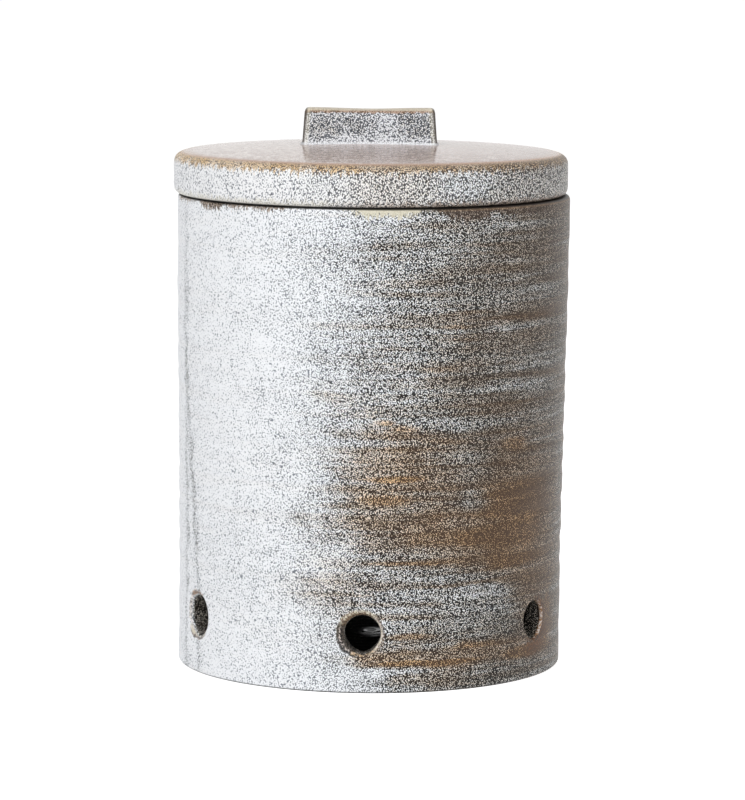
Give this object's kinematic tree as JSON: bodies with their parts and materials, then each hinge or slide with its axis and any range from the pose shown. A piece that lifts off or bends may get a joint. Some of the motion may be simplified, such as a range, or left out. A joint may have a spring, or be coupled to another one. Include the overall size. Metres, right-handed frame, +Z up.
{
  "type": "garlic keeper",
  "caption": "Round stoneware garlic keeper: a tall vented jar with throwing rings, and a loose domed lid with an upright slab grip.",
  "frame": {"origin": "centre of the foot, on the surface that the jar stands on", "axes": "+Z up along the jar's axis; +X along the length of the lid's grip; -Y is the front, where one vent faces almost straight ahead"},
  "size_m": [0.1213, 0.1206, 0.17],
  "materials": {
    "jar_glaze": "satin reactive glaze, icy white over grey-brown, speckled",
    "lid_glaze": "satin reactive glaze, taupe with a brown broken edge and a speckled side",
    "grip_glaze": "satin reactive glaze, blue-grey, brown along its top edges",
    "bare_stoneware": "matt bare stoneware"
  },
  "bodies": {
    "jar": {"jar": "jar_glaze"},
    "lid": {"lid_disc": "lid_glaze", "lid_locating_ring": "bare_stoneware", "lid_grip": "grip_glaze"}
  },
  "joints": [
    {"name": "lid_lift", "type": "slide", "parent": "jar", "child": "lid", "axis": [0, 0, 1], "range_m": [0, 0.1]}
  ]
}
